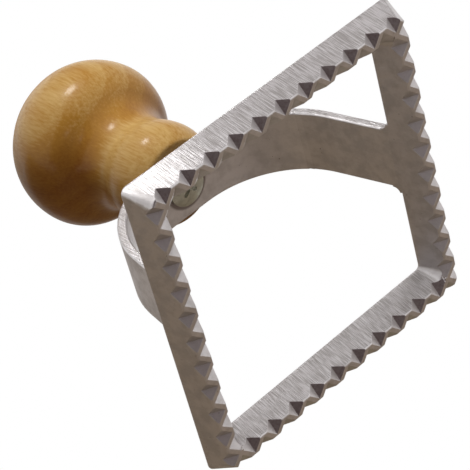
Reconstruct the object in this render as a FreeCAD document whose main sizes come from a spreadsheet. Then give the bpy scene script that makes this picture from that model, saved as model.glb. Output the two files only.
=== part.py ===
"""Ravioli stamp: a cast frame with a toothed cutting edge, a turned knob and the screw that holds it.

The origin is the centre of the square that the cutting edge marks, on the board it stands on.
X runs along the strap, Y across it, and Z from the board up to the knob.
"""

import FreeCAD, Part
import Sketcher
import math
import os

# Every driving dimension: word, value in millimetres (or a plain count), and what it measures.
SIZES = [
    ("cutting_side", 66.0, "outer side of the square on the board"),
    ("ring_height", 6.3, "height of the square frame"),
    ("rim_width", 2.8, "width of the cutting rim on the board"),
    ("outer_flare", 1.75, "how far the outer faces lean out by the frame's back"),
    ("inner_lean", 2.33, "how far the inner faces lean in by the frame's back"),
    ("outer_corner", 2.75, "radius of the outer corners at the rim"),
    ("back_corner", 1.3, "radius of the outer corners at the frame's back"),
    ("inner_corner", 2.95, "radius of the inner corners at the rim"),
    ("edge_round", 0.5, "rounding of the frame's long edges"),
    ("tooth_pitch", 6.0, "distance from notch to notch"),
    ("outer_notches", 11, "notches in the outer face of one side"),
    ("inner_notches", 10, "notches in the inner face of one side"),
    ("notch_width", 4.4, "mouth of a notch between its straight flanks"),
    ("notch_depth", 2.35, "depth of a notch on the board"),
    ("notch_rise", 1.85, "height at which a notch runs out on its face"),
    ("outer_round", 1.0, "rounding of the tooth tips beside an outer notch"),
    ("inner_round", 0.5, "rounding of the tooth tips beside an inner notch"),
    ("strap_width", 14.4, "width of the strap"),
    ("strap_thickness", 1.95, "thickness of the strap"),
    ("strap_round", 0.45, "rounding of the strap's long edges"),
    ("crown_height", 38.5, "underside of the strap's flat crown above the board"),
    ("crown_flat", 8.8, "length of the flat crown"),
    ("leg_lean", 10.5, "lean of the strap's legs towards each other, in degrees"),
    ("foot_depth", 1.0, "how far the strap's feet reach into the frame"),
    ("foot_flare", 1.5, "radius with which the feet spread onto the frame's back"),
    ("collar_radius", 11.2, "widest radius of the knob's collar"),
    ("collar_rise", 5.5, "height of the collar's widest place above its seat"),
    ("collar_curve", 18.0, "radius of the collar's barrel curve"),
    ("collar_round", 0.7, "rounding of the collar's lower edge"),
    ("neck_curve", 4.0, "radius of the hollow neck"),
    ("ball_radius", 17.9, "widest radius of the ball"),
    ("ball_rise", 27.65, "height of the ball's widest place above the knob's seat"),
    ("ball_under_curve", 9.6, "curve of the ball below its widest place"),
    ("ball_shoulder", 3.55, "how far off the axis the ball's upper side curve is centred"),
    ("ball_flatness", 1.75, "how much lower than a hemisphere the ball's top is"),
    ("shank_radius", 2.1, "radius of the screw's shank"),
    ("shank_clearance", 0.2, "room round the shank in the strap's hole"),
    ("pilot_clearance", 0.05, "room round and beyond the shank in the wood"),
    ("shank_length", 20.0, "length of the shank above the knob's seat, with its point"),
    ("point_length", 3.5, "length of the screw's point"),
    ("head_radius", 4.45, "radius of the screw's head"),
    ("head_edge", 0.45, "height of the head's straight edge"),
    ("head_dome", 0.85, "height of the head's dome"),
    ("recess_length", 4.6, "length of the two crossed slots in the head"),
    ("recess_width", 0.9, "width of the two crossed slots"),
    ("recess_depth", 1.0, "depth of the two crossed slots"),
    ("recess_turn", 45.0, "turn of the crossed slots, in degrees"),
]

# How far a cutting sketch reaches past the metal, and how far its curves sink past a face.
OVERCUT = 2.0
SINK = 0.02
# How much further a notch is cut than the height at which it runs out.
NOTCH_REACH = 1.05
# How far a foot's flare stops short of running out to nothing.
FLARE_STOP = 0.25

doc = FreeCAD.newDocument("RavioliStamp")


def make_sheet():
    """Write the driving dimensions into the document's spreadsheet."""
    sheet = doc.addObject("Spreadsheet::Sheet", "Sizes")
    for row, (word, value, meaning) in enumerate(SIZES, start=1):
        sheet.set(f"A{row}", word)
        sheet.set(f"B{row}", str(value))
        sheet.set(f"C{row}", meaning)
        sheet.setAlias(f"B{row}", word)
    doc.recompute()


def size(word):
    """Return a driving dimension as a number."""
    return float(doc.getObject("Sizes").get(word))


def add_body(label):
    """Start a new piece."""
    body = doc.addObject("PartDesign::Body", label)
    body.Label = label
    return body


def plane_of(body, role):
    """Return one of a body's own origin planes."""
    return next(item for item in body.Origin.OriginFeatures if item.Role == role)


def add_sketch(body, role, name):
    """Start a sketch on one of a body's origin planes."""
    sketch = body.newObject("Sketcher::SketchObject", name)
    sketch.AttachmentSupport = [(plane_of(body, role), "")]
    sketch.MapMode = "FlatFace"
    return sketch


def bind(feature, **expressions):
    """Tie a feature's properties to the sheet."""
    for name, expression in expressions.items():
        feature.setExpression(name, expression)


def dimension(sketch, name, expression, kind, *where):
    """Add a dimension to a sketch and tie it to the sheet."""
    index = sketch.addConstraint(Sketcher.Constraint(kind, *where))
    sketch.renameConstraint(index, name)
    sketch.setExpression("Constraints." + name, expression)


def relate(sketch, kind, *where):
    """Add a constraint without a number."""
    sketch.addConstraint(Sketcher.Constraint(kind, *where))


def line(sketch, start, end):
    """Draw a line in a sketch and return its number."""
    return sketch.addGeometry(Part.LineSegment(vector(start), vector(end)), False)


def arc(sketch, centre, radius, start_angle, end_angle):
    """Draw an arc, anticlockwise, with its angles in radians, and return its number."""
    circle = Part.Circle(vector(centre), FreeCAD.Vector(0, 0, 1), radius)
    return sketch.addGeometry(Part.ArcOfCircle(circle, start_angle, end_angle), False)


def place_point(sketch, name, kind, geometry, position, value, expression):
    """Place a point of a sketch along one axis from the origin, on either side of it."""
    if value < 0:
        dimension(sketch, name, f"-({expression})", kind, geometry, position, -1, 1, -value)
    else:
        dimension(sketch, name, expression, kind, -1, 1, geometry, position, value)


def vector(point):
    """Turn a pair of sketch coordinates into a vector."""
    return FreeCAD.Vector(point[0], point[1], 0)


def edges_where(feature, test):
    """Name the edges of a feature whose bounding box passes a test."""
    found = [f"Edge{number}" for number, edge in enumerate(feature.Shape.Edges, start=1)
             if test(edge.BoundBox)]
    if not found:
        raise RuntimeError(f"no edge of {feature.Name} passes")
    return found


def rounded_rectangle(sketch, half, top, height, radius, expressions):
    """Draw a rectangle with rounded corners, even about the sketch's upright axis.

    The expressions tie, in order, the half width, the top, the height and the corner radius.
    """
    quarter = math.pi / 2
    left, right, low, high = radius - half, half - radius, top - height + radius, top - radius
    corners = [(right, high), (left, high), (left, low), (right, low)]
    sides = [line(sketch, (half, low), (half, high)), line(sketch, (right, top), (left, top)),
             line(sketch, (-half, high), (-half, low)), line(sketch, (left, top - height), (right, top - height))]
    rounds = [arc(sketch, centre, radius, turn * quarter, (turn + 1) * quarter)
              for turn, centre in enumerate(corners)]
    for turn in range(4):
        relate(sketch, "Tangent", sides[turn], 2, rounds[turn], 1)
        relate(sketch, "Tangent", rounds[turn], 2, sides[(turn + 1) % 4], 1)
        relate(sketch, ("Vertical", "Horizontal")[turn % 2], sides[turn])
    for turn in range(1, 4):
        relate(sketch, "Equal", rounds[0], rounds[turn])
    dimension(sketch, "right_half", expressions[0], "DistanceX", -1, 1, sides[0], 1, half)
    dimension(sketch, "left_half", expressions[0], "DistanceX", sides[2], 1, -1, 1, half)
    dimension(sketch, "top", expressions[1], "DistanceY", -1, 1, sides[1], 1, top)
    dimension(sketch, "height", expressions[2], "DistanceY", sides[3], 1, sides[1], 2, height)
    dimension(sketch, "corner", expressions[3], "Radius", rounds[0], radius)


def square_outline(body, name, half, half_expression, corner_word):
    """Draw a rounded square about the upright axis."""
    outline = add_sketch(body, "XY_Plane", name)
    rounded_rectangle(outline, half, half, 2 * half, size(corner_word),
                      [half_expression, half_expression, f"2 * ({half_expression})", "Sizes." + corner_word])
    return outline


def frame_ring(body):
    """Make the square frame: a wedge section with leaning faces and rounded edges."""
    half = size("cutting_side") / 2
    rim = square_outline(body, "rim_outline", half, "Sizes.cutting_side / 2", "outer_corner")
    back = square_outline(body, "back_outline", half + size("outer_flare"),
                          "Sizes.cutting_side / 2 + Sizes.outer_flare", "back_corner")
    back.setExpression("AttachmentOffset.Base.z", "Sizes.ring_height")
    block = body.newObject("PartDesign::AdditiveLoft", "frame_block")
    block.Profile = rim
    block.Sections = [(back, [""])]
    block.Ruled = True

    opening = square_outline(body, "opening_outline", half - size("rim_width"),
                             "Sizes.cutting_side / 2 - Sizes.rim_width", "inner_corner")
    inside = cut_opening(body, "frame_opening", opening)
    doc.recompute()

    height = size("ring_height")
    rounds = body.newObject("PartDesign::Fillet", "frame_edges")
    rounds.Base = (inside, edges_where(inside, lambda box: box.ZLength < height / 2))
    bind(rounds, Radius="Sizes.edge_round")
    return opening


def cut_opening(body, name, outline):
    """Cut the leaning inside of the frame, up to the frame's back."""
    inside = body.newObject("PartDesign::Pocket", name)
    inside.Profile = outline
    inside.Reversed = True
    bind(inside, Length="Sizes.ring_height", TaperAngle="-atan(Sizes.inner_lean / Sizes.ring_height)")
    return inside


def notch_outline(body, name, first, first_expression, face, face_expression, round_word):
    """Draw a notch on the board: a vee that opens at a face and rounds the tooth tips beside it."""
    depth, half, radius = size("notch_depth"), size("notch_width") / 2, size(round_word)
    lean = math.atan2(depth, half)
    spread = (radius * math.hypot(depth, half) + half * (depth - radius + SINK)) / depth
    level = face + SINK - radius
    tangent_x = spread - radius * math.sin(lean)
    tangent_y = level + radius * math.cos(lean)
    tip, lid = (first, face - depth), face + OVERCUT
    sketch = add_sketch(body, "XY_Plane", name)
    right_flank = line(sketch, tip, (first + tangent_x, tangent_y))
    right_round = arc(sketch, (first + spread, level), radius, math.pi / 2, math.pi / 2 + lean)
    right_wall = line(sketch, (first + spread, face + SINK), (first + spread, lid))
    cover = line(sketch, (first + spread, lid), (first - spread, lid))
    left_wall = line(sketch, (first - spread, lid), (first - spread, face + SINK))
    left_round = arc(sketch, (first - spread, level), radius, math.pi / 2 - lean, math.pi / 2)
    left_flank = line(sketch, (first - tangent_x, tangent_y), tip)
    for one, end, other, start in ((right_round, 1, right_wall, 1), (right_wall, 2, cover, 1),
                                   (cover, 2, left_wall, 1), (left_wall, 2, left_round, 2),
                                   (left_flank, 2, right_flank, 1)):
        relate(sketch, "Coincident", one, end, other, start)
    relate(sketch, "Tangent", right_flank, 2, right_round, 2)
    relate(sketch, "Tangent", left_flank, 1, left_round, 1)
    relate(sketch, "Vertical", right_wall)
    relate(sketch, "Vertical", left_wall)
    relate(sketch, "Horizontal", cover)
    relate(sketch, "Vertical", right_round, 3, right_round, 1)
    relate(sketch, "Vertical", left_round, 3, left_round, 2)
    relate(sketch, "Horizontal", right_round, 3, left_round, 3)
    relate(sketch, "Equal", right_round, left_round)
    relate(sketch, "Equal", right_flank, left_flank)
    place_point(sketch, "first", "DistanceX", right_flank, 1, first, first_expression)
    place_point(sketch, "tip", "DistanceY", right_flank, 1, tip[1],
                f"{face_expression} - Sizes.notch_depth")
    place_point(sketch, "face", "DistanceY", right_round, 1, face + SINK, f"{face_expression} + {SINK}")
    dimension(sketch, "lid", str(OVERCUT - SINK), "DistanceY", right_wall, 1, right_wall, 2, OVERCUT - SINK)
    dimension(sketch, "round", "Sizes." + round_word, "Radius", right_round, radius)
    dimension(sketch, "lean", "atan(2 * Sizes.notch_depth / Sizes.notch_width)", "Angle", right_flank, lean)
    return sketch


def cut_notches(body, name, outline, lean_word, count_word):
    """Cut a notch that runs out up its leaning face, and repeat it along and round the frame."""
    notch = body.newObject("PartDesign::Pocket", name)
    notch.Profile = outline
    notch.UseCustomVector = True
    notch.AlongSketchNormal = True
    notch.Direction = FreeCAD.Vector(0, size("notch_depth"), size("notch_rise"))
    notch.setExpression("Direction.y", f"Sizes.notch_depth + Sizes.{lean_word} * Sizes.notch_rise"
                                       " / Sizes.ring_height")
    notch.setExpression("Direction.z", "Sizes.notch_rise")
    bind(notch, Length=f"{NOTCH_REACH} * Sizes.notch_rise")
    along = doc.addObject("PartDesign::LinearPattern", name + "_along")
    along.Direction = (plane_of(body, "X_Axis"), [""])
    bind(along, Occurrences=f"Sizes.{count_word}",
         Length=f"(Sizes.{count_word} - 1) * Sizes.tooth_pitch")
    around = doc.addObject("PartDesign::PolarPattern", name + "_around")
    around.Axis = (plane_of(body, "Z_Axis"), [""])
    around.Angle = 360
    around.Occurrences = 4
    every = body.newObject("PartDesign::MultiTransform", name + "_everywhere")
    every.Originals = [notch]
    body.addObject(along)
    body.addObject(around)
    every.Transformations = [along, around]
    body.Tip = every
    return every


def cutting_teeth(body):
    """Notch both faces of the cutting rim, the inner notches between the outer ones."""
    half = size("cutting_side") / 2
    for side, lean_word, face, face_expression in (
            ("outer", "outer_flare", half, "Sizes.cutting_side / 2"),
            ("inner", "inner_lean", size("rim_width") - half, "Sizes.rim_width - Sizes.cutting_side / 2")):
        count_word = side + "_notches"
        first = -(size(count_word) - 1) / 2 * size("tooth_pitch")
        outline = notch_outline(body, side + "_notch_outline", first,
                                f"-(Sizes.{count_word} - 1) / 2 * Sizes.tooth_pitch", face, face_expression,
                                side + "_round")
        cut_notches(body, side + "_notch", outline, lean_word, count_word)


def foot_place(sketch):
    """Mark the frame's inner back edge in a sketch, where a foot's inner face lands."""
    foot_x = size("cutting_side") / 2 - size("rim_width") - size("inner_lean")
    foot = sketch.addGeometry(Part.Point(vector((foot_x, size("ring_height")))), True)
    dimension(sketch, "foot_x", "Sizes.cutting_side / 2 - Sizes.rim_width - Sizes.inner_lean",
              "DistanceX", -1, 1, foot, 1, foot_x)
    dimension(sketch, "foot_z", "Sizes.ring_height", "DistanceY", -1, 1, foot, 1, size("ring_height"))
    return foot, foot_x


def strap_path(body):
    """Draw half of the strap's middle line: flat crown, round shoulder, leaning leg."""
    thickness, lean = size("strap_thickness"), math.radians(size("leg_lean"))
    crown_end, middle = size("crown_flat") / 2, size("crown_height") + thickness / 2
    sketch = add_sketch(body, "XZ_Plane", "strap_path")
    foot, foot_x = foot_place(sketch)
    rise = size("crown_height") - size("ring_height")
    inner_bend = ((foot_x - crown_end) * math.cos(lean) - rise * math.sin(lean)) / (1 - math.sin(lean))
    bend = inner_bend + thickness / 2
    centre = (crown_end, middle - bend)
    shoulder_end = (centre[0] + bend * math.cos(lean), centre[1] + bend * math.sin(lean))
    foot_level = size("ring_height") - size("foot_depth")
    leg_end = (shoulder_end[0] + (shoulder_end[1] - foot_level) * math.tan(lean), foot_level)

    crown = line(sketch, (0, middle), (crown_end, middle))
    shoulder = arc(sketch, centre, bend, lean, math.pi / 2)
    leg = line(sketch, leg_end, shoulder_end)
    relate(sketch, "PointOnObject", crown, 1, -2)
    relate(sketch, "Horizontal", crown)
    relate(sketch, "Tangent", crown, 2, shoulder, 2)
    relate(sketch, "Tangent", shoulder, 1, leg, 2)
    dimension(sketch, "middle", "Sizes.crown_height + Sizes.strap_thickness / 2", "DistanceY",
              -1, 1, crown, 1, middle)
    dimension(sketch, "flat", "Sizes.crown_flat / 2", "DistanceX", -1, 1, crown, 2, crown_end)
    dimension(sketch, "lean", "(90 + Sizes.leg_lean) * 1 deg", "Angle", leg, math.pi / 2 + lean)
    dimension(sketch, "offset", "Sizes.strap_thickness / 2", "Distance", foot, 1, leg, thickness / 2)
    dimension(sketch, "leg_end", "Sizes.ring_height - Sizes.foot_depth", "DistanceY",
              -1, 1, leg, 1, foot_level)
    return sketch


def foot_block(body):
    """Make the wide lower end of a leg, from inside the frame to the top of its flares."""
    thickness, lean = size("strap_thickness"), math.radians(size("leg_lean"))
    low, high = size("ring_height") - size("foot_depth"), size("ring_height") + size("foot_flare")
    sketch = add_sketch(body, "XZ_Plane", "foot_outline")
    foot, foot_x = foot_place(sketch)
    inner_low = foot_x + (size("ring_height") - low) * math.tan(lean)
    inner_high = foot_x - (high - size("ring_height")) * math.tan(lean)
    across = thickness / math.cos(lean)
    corners = [(inner_low, low), (inner_low + across, low), (inner_high + across, high), (inner_high, high)]
    base, outside, top, inside = (line(sketch, corners[number], corners[(number + 1) % 4])
                                  for number in range(4))
    for one, other in ((base, outside), (outside, top), (top, inside), (inside, base)):
        relate(sketch, "Coincident", one, 2, other, 1)
    relate(sketch, "Horizontal", base)
    relate(sketch, "Horizontal", top)
    relate(sketch, "Parallel", inside, outside)
    relate(sketch, "PointOnObject", foot, 1, inside)
    dimension(sketch, "lean", "(90 + Sizes.leg_lean) * 1 deg", "Angle", outside, math.pi / 2 + lean)
    dimension(sketch, "thickness", "Sizes.strap_thickness", "Distance", foot, 1, outside, thickness)
    dimension(sketch, "low", "Sizes.ring_height - Sizes.foot_depth", "DistanceY", -1, 1, base, 1, low)
    dimension(sketch, "high", "Sizes.ring_height + Sizes.foot_flare", "DistanceY", -1, 1, top, 1, high)
    block = body.newObject("PartDesign::Pad", "foot_block")
    block.Profile = sketch
    block.SideType = "Symmetric"
    bind(block, Length=f"Sizes.strap_width + 2 * (Sizes.foot_flare - {FLARE_STOP})")
    return block


def hollow_flares(body):
    """Hollow the sides of the feet, so that they sweep from the strap out onto the frame."""
    half, radius, level = size("strap_width") / 2, size("foot_flare"), size("ring_height")
    end = math.pi + math.acos(FLARE_STOP / radius)
    low = level + radius + radius * math.sin(end)
    reach, lid = half + radius + OVERCUT, level + radius + OVERCUT
    sketch = add_sketch(body, "YZ_Plane", "flare_outline")
    sweep = arc(sketch, (half + radius, level + radius), radius, math.pi, end)
    floor = line(sketch, (half + radius - FLARE_STOP, low), (reach, low))
    far = line(sketch, (reach, low), (reach, lid))
    cover = line(sketch, (reach, lid), (half, lid))
    near = line(sketch, (half, lid), (half, level + radius))
    for one, end_one, other, end_other in ((sweep, 2, floor, 1), (floor, 2, far, 1), (far, 2, cover, 1),
                                           (cover, 2, near, 1)):
        relate(sketch, "Coincident", one, end_one, other, end_other)
    relate(sketch, "Tangent", near, 2, sweep, 1)
    relate(sketch, "Horizontal", floor)
    relate(sketch, "Vertical", far)
    relate(sketch, "Horizontal", cover)
    relate(sketch, "Vertical", near)
    dimension(sketch, "half", "Sizes.strap_width / 2", "DistanceX", -1, 1, near, 2, half)
    dimension(sketch, "level", "Sizes.ring_height + Sizes.foot_flare", "DistanceY",
              -1, 1, near, 2, level + radius)
    dimension(sketch, "radius", "Sizes.foot_flare", "Radius", sweep, radius)
    dimension(sketch, "stop", str(FLARE_STOP), "DistanceX", sweep, 2, sweep, 3, FLARE_STOP)
    dimension(sketch, "reach", str(OVERCUT + FLARE_STOP), "DistanceX", floor, 1, floor, 2, OVERCUT + FLARE_STOP)
    dimension(sketch, "lid", str(OVERCUT), "DistanceY", near, 2, near, 1, OVERCUT)
    hollow = body.newObject("PartDesign::Pocket", "flare_hollow")
    hollow.Profile = sketch
    hollow.SideType = "Symmetric"
    bind(hollow, Length="2 * Sizes.cutting_side")
    other = body.newObject("PartDesign::Mirrored", "flare_other_hollow")
    other.Originals = [hollow]
    other.MirrorPlane = (plane_of(body, "XZ_Plane"), [""])
    body.Tip = other


def bridge_strap(body, opening):
    """Bend the flat strap over the frame, spread its feet, and trim them to the frame's leaning inside."""
    path = strap_path(body)
    half, thickness = size("strap_width") / 2, size("strap_thickness")
    section = add_sketch(body, "YZ_Plane", "strap_section")
    rounded_rectangle(section, half, size("crown_height") + thickness, thickness, size("strap_round"),
                      ["Sizes.strap_width / 2", "Sizes.crown_height + Sizes.strap_thickness",
                       "Sizes.strap_thickness", "Sizes.strap_round"])
    bent = body.newObject("PartDesign::AdditivePipe", "strap_half")
    bent.Profile = section
    bent.Spine = (path, [""])
    foot = foot_block(body)
    doc.recompute()
    other = body.newObject("PartDesign::Mirrored", "strap_other_half")
    other.Originals = [bent, foot]
    other.MirrorPlane = (plane_of(body, "YZ_Plane"), [""])
    body.Tip = other
    hollow_flares(body)
    cut_opening(body, "feet_trim", opening)


def screw_hole(body):
    """Cut the clearance hole for the screw through the strap's crown."""
    radius = size("shank_radius") + size("shank_clearance")
    outline = add_sketch(body, "XY_Plane", "screw_hole_outline")
    circle = outline.addGeometry(Part.Circle(vector((0, 0)), FreeCAD.Vector(0, 0, 1), radius), False)
    relate(outline, "Coincident", circle, 3, -1, 1)
    dimension(outline, "radius", "Sizes.shank_radius + Sizes.shank_clearance", "Radius", circle, radius)
    hole = body.newObject("PartDesign::Pocket", "screw_hole")
    hole.Profile = outline
    hole.Type = "ThroughAll"
    hole.Reversed = True


def cutter_frame():
    """Make the casting: frame, teeth and strap in one."""
    body = add_body("cutter_frame")
    opening = frame_ring(body)
    cutting_teeth(body)
    bridge_strap(body, opening)
    screw_hole(body)
    return body


def two_circles(first, first_radius, second, second_radius):
    """Return the right-hand crossing of two circles, the second above the first."""
    apart = math.hypot(second[0] - first[0], second[1] - first[1])
    along = (first_radius ** 2 - second_radius ** 2 + apart ** 2) / (2 * apart)
    aside = math.sqrt(first_radius ** 2 - along ** 2)
    unit = ((second[0] - first[0]) / apart, (second[1] - first[1]) / apart)
    return (first[0] + unit[0] * along + unit[1] * aside, first[1] + unit[1] * along - unit[0] * aside)


def direction(start, end):
    """Return the angle of the way from one sketch point to another."""
    return math.atan2(end[1] - start[1], end[0] - start[0])


def knob_profile(body):
    """Draw half of the knob's section: seat, barrelled collar, hollow neck and flattened ball."""
    seat = size("crown_height") + size("strap_thickness")
    bore = size("shank_radius") + size("pilot_clearance")
    bore_top = seat + size("shank_length") + size("pilot_clearance")
    widest, ball = seat + size("collar_rise"), seat + size("ball_rise")
    collar_centre = (size("collar_radius") - size("collar_curve"), widest)
    under_centre = (size("ball_radius") - size("ball_under_curve"), ball)
    over_centre = (size("ball_shoulder"), ball)
    neck_centre = two_circles(collar_centre, size("collar_curve") + size("neck_curve"),
                              under_centre, size("ball_under_curve") + size("neck_curve"))
    rise, curve = size("ball_radius") - size("ball_flatness"), size("ball_radius") - size("ball_shoulder")
    dome_curve = (over_centre[0] ** 2 + rise ** 2 - curve ** 2) / (2 * (rise - curve))
    dome_centre, top = (0, ball + rise - dome_curve), (0, ball + rise)
    seat_angle = math.asin((seat - widest) / size("collar_curve"))
    seat_edge = (collar_centre[0] + size("collar_curve") * math.cos(seat_angle), seat)

    sketch = add_sketch(body, "XZ_Plane", "knob_profile")
    axis = line(sketch, top, (0, bore_top))
    bore_end = line(sketch, (0, bore_top), (bore, bore_top))
    bore_wall = line(sketch, (bore, bore_top), (bore, seat))
    seat_face = line(sketch, (bore, seat), seat_edge)
    collar = arc(sketch, collar_centre, size("collar_curve"), seat_angle, direction(collar_centre, neck_centre))
    neck = arc(sketch, neck_centre, size("neck_curve"), direction(neck_centre, under_centre),
               direction(neck_centre, collar_centre) + 2 * math.pi)
    under = arc(sketch, under_centre, size("ball_under_curve"), direction(under_centre, neck_centre), 0)
    over = arc(sketch, over_centre, curve, 0, direction(dome_centre, over_centre))
    dome = arc(sketch, dome_centre, dome_curve, direction(dome_centre, over_centre), math.pi / 2)
    girth = line(sketch, collar_centre, (size("collar_radius"), widest))
    sketch.toggleConstruction(girth)

    for one, end, other, start in ((axis, 2, bore_end, 1), (bore_end, 2, bore_wall, 1),
                                   (bore_wall, 2, seat_face, 1), (seat_face, 2, collar, 1),
                                   (dome, 2, axis, 1), (girth, 1, collar, 3)):
        relate(sketch, "Coincident", one, end, other, start)
    for one, end, other, start in ((collar, 2, neck, 2), (neck, 1, under, 1), (under, 2, over, 1),
                                   (over, 2, dome, 1)):
        relate(sketch, "Tangent", one, end, other, start)
    relate(sketch, "PointOnObject", axis, 1, -2)
    relate(sketch, "PointOnObject", axis, 2, -2)
    relate(sketch, "PointOnObject", dome, 3, -2)
    relate(sketch, "PointOnObject", girth, 2, collar)
    relate(sketch, "Horizontal", girth)
    relate(sketch, "Horizontal", bore_end)
    relate(sketch, "Horizontal", seat_face)
    relate(sketch, "Vertical", bore_wall)
    relate(sketch, "Horizontal", under, 3, under, 2)
    dimension(sketch, "seat", "Sizes.crown_height + Sizes.strap_thickness", "DistanceY",
              -1, 1, seat_face, 1, seat)
    dimension(sketch, "bore", "Sizes.shank_radius + Sizes.pilot_clearance", "DistanceX",
              -1, 1, bore_wall, 1, bore)
    dimension(sketch, "bore_depth", "Sizes.shank_length + Sizes.pilot_clearance", "DistanceY",
              seat_face, 1, bore_end, 1, bore_top - seat)
    dimension(sketch, "collar_radius", "Sizes.collar_radius", "DistanceX",
              -1, 1, girth, 2, size("collar_radius"))
    dimension(sketch, "collar_rise", "Sizes.collar_rise", "DistanceY",
              seat_face, 1, girth, 2, size("collar_rise"))
    dimension(sketch, "collar_curve", "Sizes.collar_curve", "Radius", collar, size("collar_curve"))
    dimension(sketch, "neck_curve", "Sizes.neck_curve", "Radius", neck, size("neck_curve"))
    dimension(sketch, "ball_radius", "Sizes.ball_radius", "DistanceX", -1, 1, under, 2, size("ball_radius"))
    dimension(sketch, "ball_rise", "Sizes.ball_rise", "DistanceY",
              seat_face, 1, under, 2, size("ball_rise"))
    dimension(sketch, "ball_under", "Sizes.ball_under_curve", "Radius", under, size("ball_under_curve"))
    dimension(sketch, "ball_over", "Sizes.ball_radius - Sizes.ball_shoulder", "Radius", over, curve)
    dimension(sketch, "ball_dome", "Sizes.ball_radius - Sizes.ball_flatness", "DistanceY",
              under, 2, dome, 2, rise)
    return sketch


def turn_profile(body, name, outline):
    """Turn a profile once round the upright axis."""
    turned = body.newObject("PartDesign::Revolution", name)
    turned.Profile = outline
    turned.ReferenceAxis = (outline, ["V_Axis"])
    turned.Angle = 360
    return turned


def handle_knob():
    """Turn the wooden knob, bored for the screw."""
    body = add_body("handle_knob")
    turned = turn_profile(body, "knob_turning", knob_profile(body))
    doc.recompute()
    seat, low = size("crown_height") + size("strap_thickness"), size("shank_radius") * 2

    def seat_rim(box):
        return abs(box.ZMin - seat) < 0.01 and abs(box.ZMax - seat) < 0.01 and box.XLength > 2 * low

    eased = body.newObject("PartDesign::Fillet", "collar_edge")
    eased.Base = (turned, edges_where(turned, seat_rim))
    bind(eased, Radius="Sizes.collar_round")
    return body


def screw_profile(body):
    """Draw half of the screw's section: domed head, straight shank and point."""
    under_head, seat = size("crown_height"), size("crown_height") + size("strap_thickness")
    head, shank, dome = size("head_radius"), size("shank_radius"), size("head_dome")
    rim, tip = under_head - size("head_edge"), seat + size("shank_length")
    shoulder = tip - size("point_length")
    curve = (head ** 2 + dome ** 2) / (2 * dome)
    centre = (0, rim - dome + curve)
    sketch = add_sketch(body, "XZ_Plane", "screw_profile")
    points = [(head, rim), (head, under_head), (shank, under_head), (shank, shoulder), (0, tip), (0, rim - dome)]
    edge, land, wall, point, axis = (line(sketch, points[number], points[number + 1]) for number in range(5))
    face = arc(sketch, centre, curve, -math.pi / 2, direction(centre, points[0]))
    for one, end, other, start in ((edge, 2, land, 1), (land, 2, wall, 1), (wall, 2, point, 1),
                                   (point, 2, axis, 1), (axis, 2, face, 1), (face, 2, edge, 1)):
        relate(sketch, "Coincident", one, end, other, start)
    relate(sketch, "Vertical", edge)
    relate(sketch, "Horizontal", land)
    relate(sketch, "Vertical", wall)
    for end in (1, 2):
        relate(sketch, "PointOnObject", axis, end, -2)
    relate(sketch, "PointOnObject", face, 3, -2)
    dimension(sketch, "under_head", "Sizes.crown_height", "DistanceY", -1, 1, land, 1, under_head)
    dimension(sketch, "head", "Sizes.head_radius", "DistanceX", -1, 1, land, 1, head)
    dimension(sketch, "shank", "Sizes.shank_radius", "DistanceX", -1, 1, wall, 1, shank)
    dimension(sketch, "head_edge", "Sizes.head_edge", "DistanceY", edge, 1, edge, 2, size("head_edge"))
    dimension(sketch, "dome", "Sizes.head_dome", "DistanceY", axis, 2, edge, 1, dome)
    dimension(sketch, "length", "Sizes.strap_thickness + Sizes.shank_length", "DistanceY",
              wall, 1, axis, 1, tip - under_head)
    dimension(sketch, "point", "Sizes.point_length", "DistanceY", wall, 2, axis, 1, size("point_length"))
    return sketch


def recess_slot(body, name, turn_expression):
    """Cut one of the crossed slots into the screw's head."""
    half_length, half_width = size("recess_length") / 2, size("recess_width") / 2
    slot = add_sketch(body, "XY_Plane", name + "_outline")
    slot.setExpression("AttachmentOffset.Base.z", "Sizes.crown_height - Sizes.head_edge - Sizes.head_dome")
    slot.setExpression("AttachmentOffset.Rotation.Angle", turn_expression)
    corners = [(half_length, half_width), (-half_length, half_width), (-half_length, -half_width),
               (half_length, -half_width)]
    sides = [line(slot, corners[number - 1], corners[number]) for number in range(4)]
    for number in range(4):
        relate(slot, "Coincident", sides[number - 1], 2, sides[number], 1)
        relate(slot, ("Vertical", "Horizontal")[number % 2], sides[number])
    relate(slot, "Symmetric", sides[0], 1, sides[2], 1, -1, 1)
    dimension(slot, "length", "Sizes.recess_length", "DistanceX", sides[1], 2, sides[1], 1, 2 * half_length)
    dimension(slot, "width", "Sizes.recess_width", "DistanceY", sides[0], 1, sides[0], 2, 2 * half_width)
    cut = body.newObject("PartDesign::Pocket", name)
    cut.Profile = slot
    cut.Reversed = True
    bind(cut, Length="Sizes.recess_depth")


def fixing_screw():
    """Turn the screw and cross its head."""
    body = add_body("fixing_screw")
    turn_profile(body, "screw_turning", screw_profile(body))
    doc.recompute()
    recess_slot(body, "recess_one", "Sizes.recess_turn")
    recess_slot(body, "recess_two", "Sizes.recess_turn + 90")
    return body


def write_pieces(pieces):
    """Check every feature and solid, then write one file for each piece."""
    doc.recompute()
    failed = [item.Name for item in doc.Objects if {"Invalid", "Error"} & set(item.State)]
    failed += [piece.Label for piece in pieces if piece.Shape.isNull() or not piece.Shape.isValid()]
    if failed:
        raise RuntimeError("not built: " + ", ".join(failed))
    os.makedirs("parts", exist_ok=True)
    for piece in pieces:
        piece.Shape.exportStep(f"parts/{piece.Label}.step")
        print(piece.Label, len(piece.Shape.Solids), "solid,", round(piece.Shape.Volume, 1), "mm3")


make_sheet()
write_pieces([cutter_frame(), handle_knob(), fixing_screw()])
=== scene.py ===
"""Ravioli stamp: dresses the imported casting, knob and screw, and lights them in a plain studio."""
import logging
import math
from dataclasses import dataclass
from enum import Enum
from typing import Any, Iterable, Sequence

import bpy
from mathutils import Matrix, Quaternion, Vector


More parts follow.
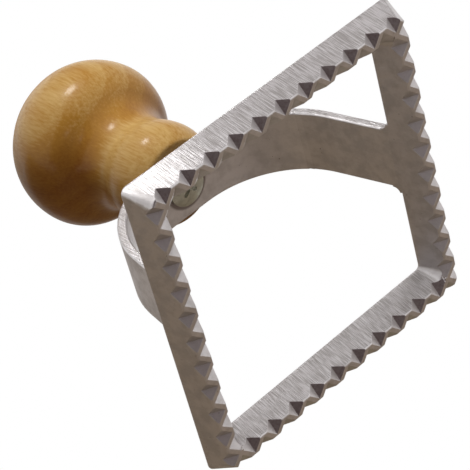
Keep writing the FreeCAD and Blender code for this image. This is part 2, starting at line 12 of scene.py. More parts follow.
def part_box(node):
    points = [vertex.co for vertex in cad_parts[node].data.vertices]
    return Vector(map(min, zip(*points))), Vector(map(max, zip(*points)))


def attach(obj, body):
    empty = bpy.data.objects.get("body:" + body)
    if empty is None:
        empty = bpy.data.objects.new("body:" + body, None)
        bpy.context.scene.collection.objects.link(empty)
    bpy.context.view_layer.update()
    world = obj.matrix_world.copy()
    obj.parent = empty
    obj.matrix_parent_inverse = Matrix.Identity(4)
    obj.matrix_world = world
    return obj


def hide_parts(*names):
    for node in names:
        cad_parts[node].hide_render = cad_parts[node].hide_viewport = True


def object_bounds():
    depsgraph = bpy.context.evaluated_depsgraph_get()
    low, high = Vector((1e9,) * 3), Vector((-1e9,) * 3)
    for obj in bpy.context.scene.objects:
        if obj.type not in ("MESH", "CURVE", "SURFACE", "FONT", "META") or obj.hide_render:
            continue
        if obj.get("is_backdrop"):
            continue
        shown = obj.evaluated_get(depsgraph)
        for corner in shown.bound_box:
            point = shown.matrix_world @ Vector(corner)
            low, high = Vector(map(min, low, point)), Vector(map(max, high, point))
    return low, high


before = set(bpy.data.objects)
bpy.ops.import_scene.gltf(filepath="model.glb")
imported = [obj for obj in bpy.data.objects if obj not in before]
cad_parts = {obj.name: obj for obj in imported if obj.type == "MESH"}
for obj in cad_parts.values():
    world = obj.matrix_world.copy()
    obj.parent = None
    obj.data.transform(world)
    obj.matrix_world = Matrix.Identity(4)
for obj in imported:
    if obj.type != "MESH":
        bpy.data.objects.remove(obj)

MM = 0.001

log = logging.getLogger("ravioli_stamp")

Colour = tuple[float, float, float]
Span = tuple[float, float]


class Slot(Enum):
    """The record's material slots."""

    CAST_ALUMINIUM = "cast_aluminium"
    TURNED_WOOD = "turned_wood"
    SCREW_STEEL = "screw_steel"


class Amount:
    """A number that may change over a surface: a socket that takes part in arithmetic."""

    def __init__(self, sheet: "FinishSheet", socket: bpy.types.NodeSocket) -> None:
        """Wrap one output socket of a finish's tree."""
        self.sheet = sheet
        self.socket = socket

    def maths(self, operation: str, *values: Any) -> "Amount":
        """Add a Math node.

        Args:
            operation: The node's operation.
            values: Its inputs in order, each a number or an Amount.

        Returns:
            The node's result.
        """
        inputs = dict(enumerate(values))
        return self.sheet.amount("ShaderNodeMath", {"operation": operation}, inputs)

    def __add__(self, other: Any) -> "Amount":
        """Return self + other."""
        return self.maths("ADD", self, other)

    def __radd__(self, other: Any) -> "Amount":
        """Return other + self."""
        return self.maths("ADD", other, self)

    def __sub__(self, other: Any) -> "Amount":
        """Return self - other."""
        return self.maths("SUBTRACT", self, other)

    def __rsub__(self, other: Any) -> "Amount":
        """Return other - self."""
        return self.maths("SUBTRACT", other, self)

    def __mul__(self, other: Any) -> "Amount":
        """Return self * other."""
        return self.maths("MULTIPLY", self, other)

    def __rmul__(self, other: Any) -> "Amount":
        """Return other * self."""
        return self.maths("MULTIPLY", other, self)

    def size(self) -> "Amount":
        """Return the value without its sign."""
        return self.maths("ABSOLUTE", self)

    def between(self, low: float, high: float, start: float = 0.0, end: float = 1.0) -> "Amount":
        """Return start at low and end at high, smoothly, and no further beyond them."""
        inputs = {"Value": self, "From Min": low, "From Max": high, "To Min": start, "To Max": end}
        return self.sheet.amount("ShaderNodeMapRange", {"interpolation_type": "SMOOTHSTEP"}, inputs)


class FinishSheet:
    """The node tree of one finish."""

    def __init__(self, name: str) -> None:
        """Start an empty material."""
        self.material = bpy.data.materials.new(name)
        self.material.use_nodes = True
        self.tree = self.material.node_tree
        self.tree.nodes.clear()

    def node(self, kind: str, settings: dict[str, Any] | None = None,
             inputs: dict[Any, Any] | None = None) -> bpy.types.Node:
        """Add one node.

        Args:
            kind: The node's type.
            settings: Its properties, set first. "stops" fills a ramp with (place, colour) pairs.
            inputs: Its sockets by name or number, each a value, an Amount or an output socket.

        Returns:
            The node.
        """
        made = self.tree.nodes.new(kind)
        for name, value in (settings or {}).items():
            if name == "stops":
                self._fill_ramp(made.color_ramp, value)
            else:
                setattr(made, name, value)
        for key, value in (inputs or {}).items():
            socket = made.inputs[key]
            if isinstance(value, Amount):
                self.tree.links.new(value.socket, socket)
            elif isinstance(value, bpy.types.NodeSocket):
                self.tree.links.new(value, socket)
            else:
                socket.default_value = value
        return made

    def amount(self, kind: str, settings: dict[str, Any] | None = None,
               inputs: dict[Any, Any] | None = None, output: Any = 0) -> Amount:
        """Add one node and return one of its outputs as an Amount."""
        return Amount(self, self.node(kind, settings, inputs).outputs[output])

    def place(self) -> bpy.types.NodeSocket:
        """Return the point on the piece, in metres."""
        return self.node("ShaderNodeTexCoord").outputs["Object"]

    def stretched(self, where: bpy.types.NodeSocket, scale: Sequence[float],
                  shift: Sequence[float] = (0.0, 0.0, 0.0)) -> bpy.types.NodeSocket:
        """Return the point with each axis scaled, and then shifted."""
        return self.node("ShaderNodeMapping", None,
                         {"Vector": where, "Location": shift, "Scale": scale}).outputs[0]

    def parts(self, vector: bpy.types.NodeSocket) -> list[Amount]:
        """Return a vector's three parts."""
        return [Amount(self, part) for part in self.node("ShaderNodeSeparateXYZ", None, {0: vector}).outputs]

    def noise(self, where: bpy.types.NodeSocket, grain: float, detail: float = 3.0,
              roughness: float = 0.5) -> Amount:
        """Return noise from 0 to 1.

        Args:
            where: The point to read it at.
            grain: The size of one patch, in metres.
            detail: How many finer layers it has.
            roughness: How strong those are.

        Returns:
            The noise.
        """
        return self.amount("ShaderNodeTexNoise", None,
                           {"Vector": where, "Scale": 1.0 / grain, "Detail": detail, "Roughness": roughness})

    def ramp(self, value: Amount, stops: Iterable[tuple[float, Colour]]) -> bpy.types.NodeSocket:
        """Return a colour for a value from 0 to 1."""
        return self.node("ShaderNodeValToRGB", {"stops": list(stops)}, {"Fac": value}).outputs["Color"]

    def mixed(self, share: Amount, first: Any, second: Any) -> bpy.types.NodeSocket:
        """Mix two colours.

        Args:
            share: How much of the second there is, from 0 to 1.
            first: The first, a Colour or a socket.
            second: The other one.

        Returns:
            The mix.
        """
        colours = {6: first, 7: second}
        for key, value in colours.items():
            if isinstance(value, tuple):
                colours[key] = (*value, 1.0)
        made = self.node("ShaderNodeMix", {"data_type": "RGBA"}, {0: share, **colours})
        return made.outputs[2]

    def relief(self, height: Amount, distance: float, strength: float = 1.0,
               normal: bpy.types.NodeSocket | None = None) -> bpy.types.NodeSocket:
        """Show a height as relief.

        Args:
            height: The height, from 0 to 1.
            distance: How high 1 stands, in metres.
            strength: How much of the relief shows.
            normal: The normal that it is laid on, if not the surface's own.

        Returns:
            The new normal.
        """
        inputs: dict[str, Any] = {"Height": height, "Distance": distance, "Strength": strength}
        if normal is not None:
            inputs["Normal"] = normal
        return self.node("ShaderNodeBump", None, inputs).outputs["Normal"]

    def finish(self, **inputs: Any) -> bpy.types.Material:
        """Close the sheet with one Principled shader.

        Args:
            inputs: Its sockets, with words joined by _ and in small letters.

        Returns:
            The finished material.
        """
        sockets = {name.replace("_", " ").title().replace("Ior", "IOR"): value
                   for name, value in inputs.items()}
        shader = self.node("ShaderNodeBsdfPrincipled", None, sockets)
        self.node("ShaderNodeOutputMaterial", None, {"Surface": shader.outputs[0]})
        return self.material

    @staticmethod
    def _fill_ramp(ramp: bpy.types.ColorRamp, stops: Sequence[tuple[float, Colour]]) -> None:
        """Set a ramp's stops.

        Args:
            ramp: The ramp, which has two stops to begin with.
            stops: Its (place, colour) pairs.
        """
        while len(ramp.elements) < len(stops):
            ramp.elements.new(1.0)
        for element, (place, colour) in zip(ramp.elements, stops):
            element.position = place
            element.color = (*colour, 1.0)


@dataclass(frozen=True)
class CastAluminium:
    """Bare cast metal, rubbed across on its outer faces, with soft arrises and dark pits, and painted shade
    in its hollows, on one set of notch flanks and round the screw's head.

    Each Span holds the two values between which a mask fades.
    """

    bright: Colour = (0.76, 0.735, 0.74)
    dull: Colour = (0.46, 0.435, 0.425)
    # painted shade colour for the hollows and round the screw's head, also the colour of the casting's real
    # pits
    pit_and_shade_colour: Colour = (0.16, 0.125, 0.115)
    # painted shade: dark colour for the notch flanks that face -x, -y and down on the bars along x
    flank_shade: Colour = (0.255, 0.21, 0.21)
    least_roughness: float = 0.30
    arris: float = 0.16 * MM
    hollow_reach: float = 2.0 * MM
    hollow_open: Span = (0.35, 0.85)
    patch_grain: float = 3.2 * MM
    patch_noise: Span = (0.35, 0.7)
    rub_width: float = 0.13 * MM
    rub_length: float = 3.2 * MM
    rub_depth: float = 0.12 * MM
    rub_faces: Span = (0.85, 0.93)
    rub_noise: Span = (0.35, 0.65)
    x_face_rub: float = 0.35
    pit_grain: float = 0.9 * MM
    pit_noise: Span = (0.70, 0.76)
    # painted shadow on the strap round the screw's head: how far from the axis it fades, and above which
    # height
    screw_shade_reach: Span = (5.0 * MM, 5.6 * MM)
    screw_shade_height: Span = (30 * MM, 32 * MM)
    flank_tilt: Span = (-0.40, -0.30)
    flank_drop: Span = (-0.60, -0.45)
    bar_blend: float = 0.5 * MM
    skin_grain: float = 0.55 * MM
    skin_depth: float = 0.035 * MM
    wave_grain: float = 5.5 * MM
    wave_depth: float = 0.06 * MM

    def material(self) -> bpy.types.Material:
        """Lay out the finish.

        Returns:
            The casting's material.
        """
        sheet = FinishSheet("cast_aluminium")
        place = sheet.place()
        facing = sheet.node("ShaderNodeNewGeometry").outputs["True Normal"]
        facing_x, facing_y, facing_z = sheet.parts(facing)
        side_y = facing_y.size()
        side_x = facing_x.size()
        long_scale = self.rub_width / self.rub_length
        fine_in_x = sheet.noise(sheet.stretched(place, (1.0, long_scale, long_scale)), self.rub_width, 2.0)
        fine_in_y = sheet.noise(sheet.stretched(place, (long_scale, 1.0, long_scale)), self.rub_width, 2.0)
        on_y_faces = side_y.between(*self.rub_faces)
        on_x_faces = side_x.between(*self.rub_faces)
        rub = fine_in_x * on_y_faces + fine_in_y * on_x_faces * self.x_face_rub
        skin = sheet.noise(place, self.skin_grain, 4.0, 0.6)
        wave = sheet.noise(place, self.wave_grain, 2.0)
        soft = sheet.node("ShaderNodeBevel", {"samples": 6}, {"Radius": self.arris}).outputs[0]
        bumped = sheet.relief(wave, self.wave_depth, 1.0, soft)
        bumped = sheet.relief(skin, self.skin_depth, 0.6, bumped)
        bumped = sheet.relief(rub, self.rub_depth, 1.0, bumped)
        # painted shade: ambient occlusion darkens the colour in the hollows between the teeth
        open_sky = sheet.amount("ShaderNodeAmbientOcclusion", {"samples": 8},
                                {"Distance": self.hollow_reach}, "AO")
        hollow_shade = open_sky.between(*self.hollow_open, 1.0, 0.0)
        patches = sheet.noise(place, self.patch_grain, 3.0, 0.6).between(*self.patch_noise)
        streaks = rub.between(*self.rub_noise, 0.70, -0.60)
        wear = patches * 0.4 + 0.3 + streaks * (on_y_faces + on_x_faces * 0.5)
        metal = sheet.mixed(wear, self.bright, self.dull)
        point_x, point_y, point_z = sheet.parts(place)
        on_y_bars = (point_y.size() - point_x.size()).between(-self.bar_blend, self.bar_blend)
        # painted shade on one set of notch flanks, chosen by the way they face, broken up by noise
        shaded_flank = (facing_x.between(*self.flank_tilt, 1.0, 0.0)
                        * facing_z.between(*self.flank_drop, 1.0, 0.0)
                        * facing_y.between(*self.flank_tilt, 1.0, 0.0) * on_y_bars)
        metal = sheet.mixed(shaded_flank * (skin * 0.9 + 0.35), metal, self.flank_shade)
        pits = sheet.noise(place, self.pit_grain, 2.0, 0.7).between(*self.pit_noise)
        # painted shadow round the screw's head: dark within a few millimetres of the axis, high on the strap
        off_axis = sheet.amount("ShaderNodeVectorMath", {"operation": "LENGTH"},
                                {0: sheet.stretched(place, (1.0, 1.0, 0.0))}, "Value")
        screw_ring_shade = off_axis.between(*self.screw_shade_reach, 1.0, 0.0) * point_z.between(*self.screw_shade_height)
        # the darkest of painted shade in hollows, painted shadow round the screw's head, and real pits
        pits_and_painted_shade = screw_ring_shade.maths("MAXIMUM", screw_ring_shade * 0.8, hollow_shade * 0.9)
        pits_and_painted_shade = pits_and_painted_shade.maths("MAXIMUM", pits_and_painted_shade, pits * 0.7)
        colour = sheet.mixed(pits_and_painted_shade, metal, self.pit_and_shade_colour)
        rough = patches * 0.10 + skin * 0.12 + self.least_roughness
        return sheet.finish(base_color=colour, metallic=1.0, roughness=rough, normal=bumped)


@dataclass(frozen=True)
class VarnishedWood:
    """Pale turned wood under a honey varnish, its grain along the knob, with painted shade darker towards
    the back of the knob and the lower back of the ball.
    """

    light: Colour = (0.66, 0.455, 0.175)
    middle: Colour = (0.46, 0.235, 0.038)
    dark: Colour = (0.30, 0.115, 0.012)
    ring_width: float = 4.6 * MM
    ring_waver: float = 9 * MM
    ring_centre: Span = (26.0 * MM, 40.0 * MM)
    slow_grain: float = 15 * MM
    fleck_width: float = 0.5 * MM
    fleck_length: float = 5.0 * MM
    fleck_depth: float = 0.015 * MM
    # painted shade: where the back and lower side of the ball darken, and how far back the whole knob
    # darkens
    back_shade_slope: Span = (-54 * MM, -36 * MM)
    back_shade_height: Span = (52 * MM, 58 * MM)
    back_shade_depth: Span = (-4 * MM, 8 * MM)

    def material(self) -> bpy.types.Material:
        """Lay out the finish.

        Returns:
            The knob's material.
        """
        sheet = FinishSheet("varnished_wood")
        place = sheet.place()
        slow = sheet.noise(sheet.stretched(place, (1.0, 1.0, 0.35)), self.slow_grain, 3.0)
        centred = sheet.stretched(place, (1.0, 1.0, 0.0), (-self.ring_centre[0], -self.ring_centre[1], 0.0))
        across = sheet.amount("ShaderNodeVectorMath", {"operation": "LENGTH"}, {0: centred}, "Value")
        spread = (across + slow * self.ring_waver) * (1.0 / self.ring_width)
        rings = spread.maths("FRACT", spread)
        band = rings.between(0.0, 0.75) - rings.between(0.85, 1.0)
        squeeze = self.fleck_width / self.fleck_length
        streak = sheet.noise(sheet.stretched(place, (1.0, 1.0, squeeze)), self.fleck_width, 4.0, 0.65)
        _, depth, height = sheet.parts(place)
        # painted shade: darker towards the back and lower on the ball, and towards the back of the whole
        # knob
        back_shade = (depth * 0.8 - height * 0.6).between(*self.back_shade_slope) * height.between(*self.back_shade_height)
        back_shade = back_shade.maths("MAXIMUM", back_shade, depth.between(*self.back_shade_depth) * 0.7)
        # the wood's tone: real grain, streaks and patches, plus the painted shade
        grain = band * 0.10 + streak * 0.60 + slow * 0.45 + back_shade * 0.42 - 0.22
        colour = sheet.ramp(grain, [(0.18, self.light), (0.50, self.middle), (0.92, self.dark)])
        pores = streak.between(0.55, 0.72)
        rough = 0.42 + pores * 0.12
        bumped = sheet.relief(streak, self.fleck_depth, 0.5)
        return sheet.finish(base_color=colour, roughness=rough, normal=bumped, specular_ior_level=0.15,
                            coat_weight=0.4, coat_roughness=0.20)


@dataclass(frozen=True)
class PlatedSteel:
    """Dull plated steel with a faint green cast."""

    light: Colour = (0.58, 0.59, 0.51)
    dark: Colour = (0.34, 0.34, 0.29)
    # painted light: a paler colour for the screw's recess, where ambient occlusion finds it closed in
    recess_painted_light: Colour = (0.62, 0.61, 0.54)
    recess_reach: float = 1.2 * MM
    recess_open: Span = (0.3, 0.85)
    patch_grain: float = 1.6 * MM
    skin_grain: float = 0.4 * MM
    skin_depth: float = 0.02 * MM

    def material(self) -> bpy.types.Material:
        """Lay out the finish.

        Returns:
            The screw's material.
        """
        sheet = FinishSheet("plated_steel")
        place = sheet.place()
        patches = sheet.noise(place, self.patch_grain, 3.0, 0.6)
        # painted light: the recess is lightened where occlusion is high
        open_sky = sheet.amount("ShaderNodeAmbientOcclusion", {"samples": 8},
                                {"Distance": self.recess_reach}, "AO")
        colour = sheet.mixed(open_sky.between(*self.recess_open, 1.0, 0.0),
                             sheet.ramp(patches, [(0.3, self.light), (0.75, self.dark)]), self.recess_painted_light)
        bumped = sheet.relief(sheet.noise(place, self.skin_grain, 3.0), self.skin_depth)
        return sheet.finish(base_color=colour, metallic=1.0, roughness=patches * 0.2 + 0.28, normal=bumped)


def new_piece(name: str, mesh: bpy.types.Mesh) -> bpy.types.Object:
    """Put a mesh into the scene as a piece of the object.

    Args:
        name: The piece's name.
        mesh: Its mesh, already in place.

    Returns:
        The object, riding on the only body.
    """
    piece = bpy.data.objects.new(name, mesh)
    bpy.context.scene.collection.objects.link(piece)
    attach(piece, "root")
    return piece


def arc_points(centre: Sequence[float], radius: float, start: float, end: float,
               steps: int) -> list[tuple[float, float]]:
    """Return points along an arc, both ends with it, its angles in radians."""
    turns = (start + (end - start) * step / steps for step in range(steps + 1))
    return [(centre[0] + radius * math.cos(turn), centre[1] + radius * math.sin(turn)) for turn in turns]


class Lathe:
    """A Geometry Nodes tree that turns an outline about the upright axis and leaves faint tool marks."""

    seam_reach: float = 0.001 * MM

    def __init__(self) -> None:
        """Lay out the tree: a grid is rolled up, its rows along the turn and its columns up the outline."""
        self.tree = bpy.data.node_groups.new("lathe", "GeometryNodeTree")
        self.keys = {name: self._input(name, kind) for name, kind in (
            ("Outline", "Geometry"), ("Segments", "Int"), ("Rings", "Int"), ("Mark Depth", "Float"),
            ("Mark Spacing", "Float"), ("Seed", "Int"), ("Finish", "Material"))}
        self.tree.interface.new_socket("Turned", in_out="OUTPUT", socket_type="NodeSocketGeometry")
        given = self.tree.nodes.new("NodeGroupInput").outputs
        sheet = self._node("GeometryNodeMeshGrid", Size_X=1.0, Size_Y=1.0, Vertices_X=given["Segments"],
                           Vertices_Y=given["Rings"])
        flat = self._node("ShaderNodeSeparateXYZ", Vector=self._node("GeometryNodeInputPosition").outputs[0])
        turn = self._maths("MULTIPLY", self._maths("ADD", flat.outputs["X"], 0.5), math.tau)
        share = self._maths("ADD", flat.outputs["Y"], 0.5)
        sample = self._node("GeometryNodeSampleCurve", {"mode": "FACTOR"}, Curves=given["Outline"],
                            Factor=share)
        point = self._node("ShaderNodeSeparateXYZ", Vector=sample.outputs["Position"])
        radius, height = point.outputs["X"], point.outputs["Z"]
        along = self._maths("ADD", self._maths("DIVIDE", height, given["Mark Spacing"]), given["Seed"])
        mark = self._node("ShaderNodeTexNoise", {"noise_dimensions": "1D"}, W=along, Scale=1.0, Detail=1.0)
        cut = self._maths("MULTIPLY", mark.outputs[0], given["Mark Depth"])
        turned = self._maths("MAXIMUM", self._maths("SUBTRACT", radius, cut), 0.0)
        out_x = self._maths("MULTIPLY", turned, self._maths("COSINE", turn))
        out_y = self._maths("MULTIPLY", turned, self._maths("SINE", turn))
        place = self._node("ShaderNodeCombineXYZ", X=out_x, Y=out_y, Z=height)
        bent = self._node("GeometryNodeSetPosition", Geometry=sheet.outputs["Mesh"],
                          Position=place.outputs[0])
        closed = self._node("GeometryNodeMergeByDistance", Geometry=bent.outputs[0],
                            Distance=self.seam_reach)
        smooth = self._node("GeometryNodeSetShadeSmooth", Geometry=closed.outputs[0])
        real = self._node("GeometryNodeRealizeInstances", Geometry=smooth.outputs[0])
        dressed = self._node("GeometryNodeSetMaterial", Geometry=real.outputs[0], Material=given["Finish"])
        self.tree.links.new(dressed.outputs[0], self.tree.nodes.new("NodeGroupOutput").inputs[0])

    def turn(self, outline: Sequence[tuple[float, float]], values: dict[str, Any]) -> bpy.types.Mesh:
        """Turn an outline into a plain closed mesh.

        Args:
            outline: (radius, height) points from the bottom to the top, both ends on the axis.
            values: The tree's other inputs by name.

        Returns:
            The mesh, smooth all over.
        """
        curve = bpy.data.curves.new("outline", "CURVE")
        curve.dimensions = "3D"
        spline = curve.splines.new("POLY")
        spline.points.add(len(outline) - 1)
        for point, (radius, height) in zip(spline.points, outline):
            point.co = (radius, 0.0, height, 1.0)
        blank = bpy.data.objects.new("outline", curve)
        bpy.context.scene.collection.objects.link(blank)
        modifier = blank.modifiers.new("lathe", "NODES")
        modifier.node_group = self.tree
        for name, value in values.items():
            modifier[self.keys[name]] = value
        mesh = bpy.data.meshes.new_from_object(blank.evaluated_get(bpy.context.evaluated_depsgraph_get()))
        blank.modifiers.remove(modifier)
        bpy.data.objects.remove(blank)
        bpy.data.curves.remove(curve)
        return mesh

    def _input(self, name: str, kind: str) -> str:
        """Add a named input and return its identifier."""
        made = self.tree.interface.new_socket(name, in_out="INPUT", socket_type="NodeSocket" + kind)
        return made.identifier

    def _node(self, kind: str, settings: dict[str, Any] | None = None, **inputs: Any) -> bpy.types.Node:
        """Add one node.

        Args:
            kind: The node's type.
            settings: Its properties, set first.
            inputs: Its sockets, named with _ for each space, each a value or an output socket.

        Returns:
            The node.
        """
        made = self.tree.nodes.new(kind)
        for name, value in (settings or {}).items():
            setattr(made, name, value)
        for name, value in inputs.items():
            socket = made.inputs[name.replace("_", " ")]
            if isinstance(value, bpy.types.NodeSocket):
                self.tree.links.new(value, socket)
            else:
                socket.default_value = value
        return made

    def _maths(self, operation: str, *values: Any) -> bpy.types.NodeSocket:
        """Add a Math node.

        Args:
            operation: The node's operation.
            values: Its inputs in order, each a number or an output socket.

        Returns:
            The node's result.
        """
        made = self.tree.nodes.new("ShaderNodeMath")
        made.operation = operation
        for socket, value in zip(made.inputs, values):
            if isinstance(value, bpy.types.NodeSocket):
                self.tree.links.new(value, socket)
            else:
                socket.default_value = value
        return made.outputs[0]


@dataclass
class CutterFrame:
    """The casting: toothed square frame and strap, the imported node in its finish."""

    node: str = "cutter_frame"
    finish: CastAluminium = CastAluminium()

    def build(self) -> bpy.types.Object:
        """Dress the casting.

        Returns:
            Its object.
        """
        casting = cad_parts[self.node]
        casting.data.materials.clear()
        casting.data.materials.append(self.finish.material())
        return casting


@dataclass
class HandleKnob:
    """The turned knob: collar, neck and flattened ball."""

    node: str = "handle_knob"
    seat_share: float = 0.6
    collar_radius: float = 11.2 * MM
    collar_rise: float = 5.5 * MM
    collar_curve: float = 18.0 * MM
    collar_under_curve: float = 8.5 * MM
    collar_round: float = 0.9 * MM
    neck_curve: float = 8.0 * MM
    ball_rise: float = 27.65 * MM
    ball_under_curve: float = 9.6 * MM
    ball_shoulder: float = 3.55 * MM
    segments: int = 145
    rings: int = 220
    mark_depth: float = 0.012 * MM
    mark_spacing: float = 0.9 * MM
    seed: int = 7
    finish: VarnishedWood = VarnishedWood()

    def outline(self) -> list[tuple[float, float]]:
        """Draw half of the knob's section as a chain of arcs, each with its own number of steps.

        Returns:
            (radius, height) points from the seat to the top.
        """
        low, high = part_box(self.node)
        seat, top, ball_radius = low.z, high.z, high.x
        widest, ball = seat + self.collar_rise, seat + self.ball_rise
        collar = Vector((self.collar_radius - self.collar_curve, widest))
        under = Vector((ball_radius - self.ball_under_curve, ball))
        over, over_curve = Vector((self.ball_shoulder, ball)), ball_radius - self.ball_shoulder
        rise = top - ball
        dome_curve = (over.x ** 2 + rise ** 2 - over_curve ** 2) / (2 * (rise - over_curve))
        dome = Vector((0.0, top - dome_curve))
        neck = self._touching(collar, self.collar_curve + self.neck_curve,
                              under, self.ball_under_curve + self.neck_curve)
        edge, low_curve = self.collar_round, self.collar_under_curve
        low_collar = (self.collar_radius - low_curve, widest)
        lean = math.asin((seat + edge - widest) / (low_curve - edge))
        edge_centre = (low_collar[0] + (low_curve - edge) * math.cos(lean), seat + edge)
        points = [(0.0, seat), (self.seat_share * self.collar_radius, seat)]
        points += arc_points(edge_centre, edge, -math.pi / 2, lean, 6)
        points += arc_points(low_collar, low_curve, lean, 0.0, 10)[1:]
        points += arc_points(collar, self.collar_curve, 0.0, self._way(collar, neck), 8)[1:]
        points += arc_points(neck, self.neck_curve, self._way(neck, collar) + math.tau,
                             self._way(neck, under), 18)[1:]
        points += arc_points(under, self.ball_under_curve, self._way(under, neck), 0.0, 18)[1:]
        points += arc_points(over, over_curve, 0.0, self._way(dome, over), 22)[1:]
        points += arc_points(dome, dome_curve, self._way(dome, over), math.pi / 2, 10)[1:-1]
        return points + [(0.0, top)]

    def build(self) -> bpy.types.Object:
        """Turn and varnish the knob.

        Returns:
            Its object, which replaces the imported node.
        """
        mesh = Lathe().turn(self.outline(), {
            "Segments": self.segments, "Rings": self.rings, "Mark Depth": self.mark_depth,
            "Mark Spacing": self.mark_spacing, "Seed": self.seed, "Finish": self.finish.material()})
        piece = new_piece("turned_knob", mesh)
        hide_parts(self.node)
        return piece

    @staticmethod
    def _way(start: Vector, end: Vector) -> float:
        """Return the angle of the way from one point to another."""
        return math.atan2(end.y - start.y, end.x - start.x)

    @staticmethod
    def _touching(first: Vector, first_reach: float, second: Vector, second_reach: float) -> Vector:
        """Find the outer point at given distances from two others.

        Args:
            first: The lower point.
            first_reach: The distance from it.
            second: The upper point.
            second_reach: The distance from that.

        Returns:
            The point.
        """
        apart = (second - first).length
        along = (first_reach ** 2 - second_reach ** 2 + apart ** 2) / (2 * apart)
        aside = math.sqrt(first_reach ** 2 - along ** 2)
        unit = (second - first) / apart
        return first + unit * along + Vector((unit.y, -unit.x)) * aside


@dataclass
class FixingScrew:
    """The screw under the strap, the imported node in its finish."""

    node: str = "fixing_screw"
    finish: PlatedSteel = PlatedSteel()

    def build(self) -> bpy.types.Object:
        """Dress the screw.

        Returns:
            Its object.
        """
        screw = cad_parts[self.node]
        screw.data.materials.clear()
        screw.data.materials.append(self.finish.material())
        return screw


@dataclass(frozen=True)
class SoftLamp:
    """A round studio lamp that faces the object and is not mirrored in it."""

    name: str
    way: tuple[float, float, float]
    distance: float
    width: float
    power: float
    colour: Colour

    def build(self, centre: Vector) -> None:
        """Hang the lamp.

        Args:
            centre: The middle of the object.
        """
        data = bpy.data.lights.new(self.name, "AREA")
        data.shape = "DISK"
        data.size = self.width
        data.energy = self.power
        data.color = self.colour
        lamp = bpy.data.objects.new(self.name, data)
        bpy.context.scene.collection.objects.link(lamp)
        way = Vector(self.way).normalized()
        lamp.location = centre + way * self.distance
        lamp.rotation_mode = "QUATERNION"
        lamp.rotation_quaternion = way.to_track_quat("Z", "Y")
        lamp.visible_glossy = False


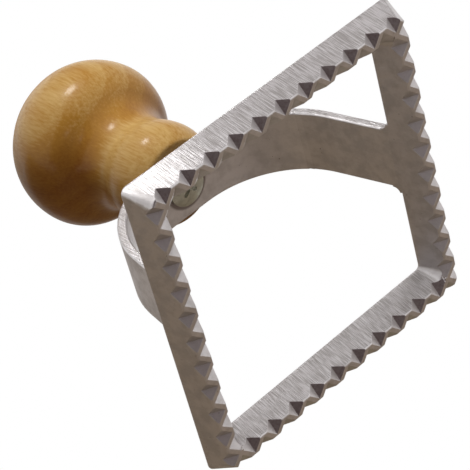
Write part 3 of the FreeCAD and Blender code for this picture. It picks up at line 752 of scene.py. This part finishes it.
@dataclass(frozen=True)
class Card:
    """A flat card beside the object that only reflections see. Its spot is in millimetres."""

    name: str
    way: tuple[float, float, float]
    distance: float
    side: float
    colour: Colour
    spot: tuple[float, float, float] | None = None

    def build(self, centre: Vector) -> None:
        """Stand the card.

        Args:
            centre: The middle of the object, which a card without a spot faces.
        """
        way = Vector(self.way).normalized()
        faced = Vector(self.spot) * MM if self.spot else centre
        turn = way.to_track_quat("Z", "Y")
        half = self.side / 2
        corners = [(-half, -half), (half, -half), (half, half), (-half, half)]
        mesh = bpy.data.meshes.new(self.name)
        mesh.from_pydata([faced + way * self.distance + turn @ Vector((x, y, 0.0)) for x, y in corners],
                         [], [(0, 1, 2, 3)])
        sheet = FinishSheet(self.name)
        glow = sheet.node("ShaderNodeEmission", None, {"Color": (*self.colour, 1.0)})
        sheet.node("ShaderNodeOutputMaterial", None, {"Surface": glow.outputs[0]})
        mesh.materials.append(sheet.material)
        card = bpy.data.objects.new(self.name, mesh)
        bpy.context.scene.collection.objects.link(card)
        card.visible_camera = False
        card.visible_shadow = False
        card.visible_diffuse = False
        card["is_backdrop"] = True


@dataclass
class Studio:
    """Camera, lamps, cards, floor and world."""

    eye: tuple[float, float, float] = (-186.193 * MM, -235.010 * MM, -248.880 * MM)
    aim: tuple[float, float, float] = (-3.833 * MM, 2.938 * MM, 20.569 * MM)
    roll: float = 64.776
    photo_width: float = 470.0
    focal_pixels: float = 2047.5
    sensor: float = 36.0
    nearest: float = 0.01
    furthest: float = 10.0
    ambient: Colour = (0.09, 0.056, 0.034)
    floor_colour: Colour = (0.86, 0.86, 0.85)
    floor_shade: float = 0.25
    floor_side: float = 3.0
    floor_gap: float = 0.3 * MM
    lamps: tuple[SoftLamp, ...] = (
        SoftLamp("window_lamp", (0.155, -0.979, 0.134), 0.60, 0.40, 3.3, (1.0, 0.97, 0.93)),
        SoftLamp("fill_lamp", (0.85, -0.20, -0.45), 0.80, 0.50, 0.6, (1.0, 0.88, 0.70)),
        SoftLamp("low_lamp", (-0.65, 0.50, -0.57), 0.80, 0.50, 0.5, (1.0, 0.82, 0.60)),
        SoftLamp("back_lamp", (0.45, 0.59, 0.67), 0.80, 0.50, 4.0, (1.0, 0.98, 0.95)),
    )
    cards: tuple[Card, ...] = (
        Card("ball_gleam", (0.137, -0.969, 0.203), 0.070, 0.017, (20.0, 20.0, 20.0), (-3.1, -17.1, 65.0)),
        Card("corner_gleam", (0.432, -0.846, 0.314), 0.018, 0.011, (4.0, 4.0, 4.0), (-31.8, -33.9, 3.2)),
        Card("edge_gleam", (-0.45, -0.90, 0.18), 0.018, 0.012, (3.5, 3.5, 3.5), (-33.9, -33.4, 4.0)),
        Card("left_card", (-0.76, 0.60, 0.25), 0.45, 0.70, (0.275, 0.214, 0.155)),
        Card("low_card", (0.35, 0.60, -0.70), 0.45, 0.75, (0.30, 0.238, 0.185)),
        Card("lower_left_card", (-0.65, 0.59, -0.43), 0.50, 0.60, (0.25, 0.197, 0.145)),
        Card("far_card", (0.08, 0.99, 0.09), 0.50, 0.60, (0.225, 0.184, 0.128)),
        Card("near_card", (-0.50, -0.38, -0.77), 0.40, 0.55, (0.16, 0.13, 0.13)),
        Card("high_card", (0.08, 0.66, 0.75), 0.50, 0.50, (0.50, 0.46, 0.43)),
        Card("right_card", (0.97, 0.12, -0.10), 0.50, 0.40, (0.76, 0.73, 0.72)),
        Card("upper_card", (0.51, -0.50, 0.70), 0.50, 0.50, (0.50, 0.47, 0.46)),
        Card("front_card", (0.50, -0.82, 0.20), 0.60, 0.60, (0.66, 0.63, 0.635)),
    )

    def build(self) -> None:
        """Set up the studio."""
        low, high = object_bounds()
        centre = (low + high) / 2
        self._camera()
        for lamp in self.lamps:
            lamp.build(centre)
        for card in self.cards:
            card.build(centre)
        self._floor(low.z)
        self._world()
        bpy.context.scene.view_settings.view_transform = "Standard"

    def _camera(self) -> None:
        """Place the camera where the photograph was taken."""
        data = bpy.data.cameras.new("photo_camera")
        data.sensor_width = self.sensor
        data.lens = self.sensor * self.focal_pixels / self.photo_width
        data.clip_start = self.nearest
        data.clip_end = self.furthest
        camera = bpy.data.objects.new("photo_camera", data)
        bpy.context.scene.collection.objects.link(camera)
        sight = Vector(self.aim) - Vector(self.eye)
        level = sight.to_track_quat("-Z", "Y")
        camera.location = self.eye
        camera.rotation_mode = "QUATERNION"
        camera.rotation_quaternion = level @ Quaternion((0.0, 0.0, 1.0), -math.radians(self.roll))
        bpy.context.scene.camera = camera

    def _floor(self, level: float) -> None:
        """Lay a pale floor that is seen only from above, because the camera looks up through it.

        Args:
            level: The height of the object's lowest point.
        """
        half = self.floor_side / 2
        mesh = bpy.data.meshes.new("floor")
        mesh.from_pydata([(x, y, level - self.floor_gap) for x, y in
                          ((-half, -half), (half, -half), (half, half), (-half, half))], [], [(0, 1, 2, 3)])
        sheet = FinishSheet("pale_floor")
        under = sheet.node("ShaderNodeNewGeometry").outputs["Backfacing"]
        matt = sheet.node("ShaderNodeBsdfDiffuse", None, {"Color": (*self.floor_colour, 1.0)})
        clear = sheet.node("ShaderNodeBsdfTransparent")
        glow = sheet.node("ShaderNodeEmission", None, {"Color": (*self.floor_colour, 1.0)})
        pale = sheet.node("ShaderNodeMixShader", None, {0: 1.0 - self.floor_shade, 1: matt.outputs[0],
                                                        2: glow.outputs[0]})
        both = sheet.node("ShaderNodeMixShader", None, {0: under, 1: pale.outputs[0], 2: clear.outputs[0]})
        sheet.node("ShaderNodeOutputMaterial", None, {"Surface": both.outputs[0]})
        mesh.materials.append(sheet.material)
        floor = bpy.data.objects.new("floor", mesh)
        bpy.context.scene.collection.objects.link(floor)
        floor.visible_diffuse = False
        floor.visible_glossy = False
        floor.visible_shadow = False
        floor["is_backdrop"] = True

    def _world(self) -> None:
        """Make the world white where it is seen or mirrored, and a dim warm light on the object."""
        world = bpy.data.worlds.new("white_room")
        world.use_nodes = True
        tree = world.node_tree
        tree.nodes.clear()
        ray = tree.nodes.new("ShaderNodeLightPath")
        seen = tree.nodes.new("ShaderNodeMath")
        seen.operation = "MAXIMUM"
        tree.links.new(ray.outputs["Is Camera Ray"], seen.inputs[0])
        mirrored = tree.nodes.new("ShaderNodeMath")
        mirrored.operation = "MAXIMUM"
        tree.links.new(ray.outputs["Is Glossy Ray"], mirrored.inputs[0])
        tree.links.new(ray.outputs["Is Transmission Ray"], mirrored.inputs[1])
        tree.links.new(mirrored.outputs[0], seen.inputs[1])
        tint = tree.nodes.new("ShaderNodeMix")
        tint.data_type = "RGBA"
        tint.inputs[6].default_value = (*self.ambient, 1.0)
        tint.inputs[7].default_value = (1.0, 1.0, 1.0, 1.0)
        tree.links.new(seen.outputs[0], tint.inputs[0])
        glow = tree.nodes.new("ShaderNodeBackground")
        tree.links.new(tint.outputs[2], glow.inputs["Color"])
        out = tree.nodes.new("ShaderNodeOutputWorld")
        tree.links.new(glow.outputs[0], out.inputs["Surface"])
        bpy.context.scene.world = world


def corners(box: tuple[Vector, Vector]) -> list[list[float]]:
    """Return a box's two corners as plain lists."""
    return [list(corner) for corner in box]


def main() -> None:
    """Build the stamp, log each piece's face count, and light it."""
    logging.basicConfig(level=logging.INFO, format="%(name)s: %(message)s")
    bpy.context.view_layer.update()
    for part in (CutterFrame(), HandleKnob(), FixingScrew()):
        piece = part.build()
        log.info("%s: %d faces", piece.name, len(piece.data.polygons))
    Studio().build()


if __name__ == "__main__":
    main()
